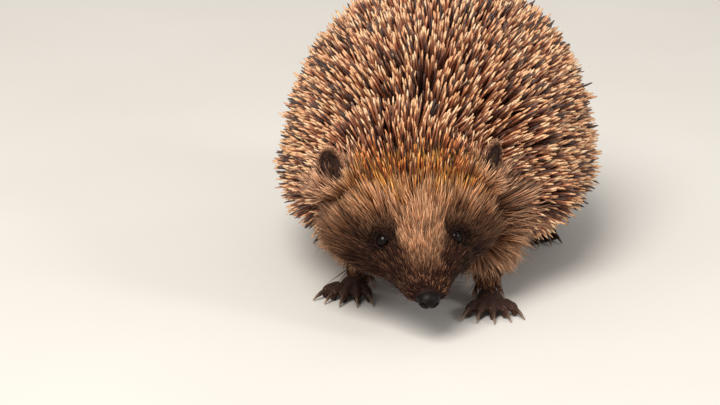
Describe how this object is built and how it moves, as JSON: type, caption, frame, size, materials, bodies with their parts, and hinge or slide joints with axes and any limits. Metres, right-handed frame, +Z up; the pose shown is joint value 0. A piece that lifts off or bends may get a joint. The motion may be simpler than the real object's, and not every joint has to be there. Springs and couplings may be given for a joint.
{
  "type": "hedgehog",
  "caption": "Still, life-size European hedgehog standing low on four feet, head lowered, with a spiny back, furry face and flanks, short tail and clawed paws.",
  "frame": {"origin": "on the floor, under the middle of the animal's bounding box", "axes": "+Z up; the animal faces -Y, with its tail towards +Y; +X is its left side"},
  "size_m": [0.1286, 0.2262, 0.113],
  "materials": {
    "spines": "smooth horny spines, dark brown with cream tips",
    "fur": "coarse brown hair, darker on the muzzle and round the eyes",
    "skin": "dark, finely creased bare skin",
    "nose": "moist black pad with a fine grain",
    "eye": "wet, glossy black",
    "claw": "smooth brown horn"
  },
  "bodies": {
    "root": {"head": "fur", "snout": "fur", "jaw": "fur", "nose": "nose", "ear_left": "skin", "ear_right": "skin", "eye_left": "eye", "eye_right": "eye", "neck": "spines", "mantle": "spines", "belly": "fur", "tail": "fur", "foreleg_left": "fur", "foreleg_right": "fur", "hindleg_left": "fur", "hindleg_right": "fur", "forepaw_left": "skin", "forepaw_right": "skin", "hindpaw_left": "skin", "hindpaw_right": "skin"}
  },
  "joints": []
}
